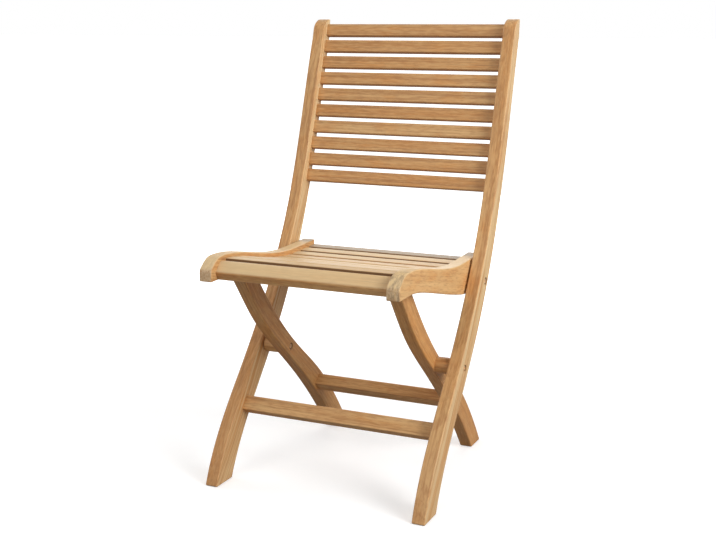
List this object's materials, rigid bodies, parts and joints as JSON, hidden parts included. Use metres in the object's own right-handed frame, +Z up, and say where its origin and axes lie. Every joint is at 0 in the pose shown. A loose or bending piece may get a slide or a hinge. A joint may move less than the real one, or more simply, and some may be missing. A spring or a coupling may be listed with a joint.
{
  "type": "folding chair",
  "caption": "Armless folding garden chair in teak: slatted seat and back, curved side rails, crossed legs on bolts, seat lifts to fold flat.",
  "frame": {"origin": "on the floor, under the middle of the chair's bounding box", "axes": "+Z up, the chair faces -Y, X across the chair, mirror plane at X = 0"},
  "size_m": [0.46, 0.5682, 0.8998],
  "materials": {
    "teak": "oiled, fine grain",
    "pivot_steel": "satin",
    "pin_steel": "satin",
    "washer_brass": "satin"
  },
  "bodies": {
    "back_frame": {"left_stile": "teak", "right_stile": "teak", "back_slat_01": "teak", "back_slat_02": "teak", "back_slat_03": "teak", "back_slat_04": "teak", "back_slat_05": "teak", "back_slat_06": "teak", "back_slat_07": "teak", "back_slat_08": "teak", "back_slat_09": "teak", "back_slat_10": "teak", "front_stretcher": "teak", "crossing_bolts": "pivot_steel", "crossing_nuts": "pivot_steel", "seat_pivot_bolts": "pivot_steel", "seat_pivot_nuts": "pivot_steel", "seat_pivot_washers": "washer_brass"},
    "rear_legs": {"left_rear_leg": "teak", "right_rear_leg": "teak", "left_crossing_spacer": "teak", "right_crossing_spacer": "teak", "rear_stretcher": "teak", "slide_pins": "pin_steel"},
    "seat": {"left_seat_rail": "teak", "right_seat_rail": "teak", "front_seat_slat": "teak", "seat_slat_01": "teak", "seat_slat_02": "teak", "seat_slat_03": "teak", "seat_slat_04": "teak", "seat_slat_05": "teak", "seat_slat_06": "teak", "seat_slat_07": "teak", "seat_slat_08": "teak", "seat_slat_09": "teak", "seat_slat_10": "teak"}
  },
  "joints": [
    {"name": "seat_fold", "type": "hinge", "parent": "back_frame", "child": "seat", "pos_m": [0, 0.08901, 0.3868], "axis": [-1, 0, 0], "range_deg": [0, 94]},
    {"name": "leg_fold", "type": "hinge", "parent": "back_frame", "child": "rear_legs", "pos_m": [0, -0.02549, 0.239], "axis": [-1, 0, 0], "range_deg": [0, 67.8]}
  ],
  "couplings": [
    {"joint": "leg_fold", "follows": "seat_fold", "ratio": 0.72}
  ]
}
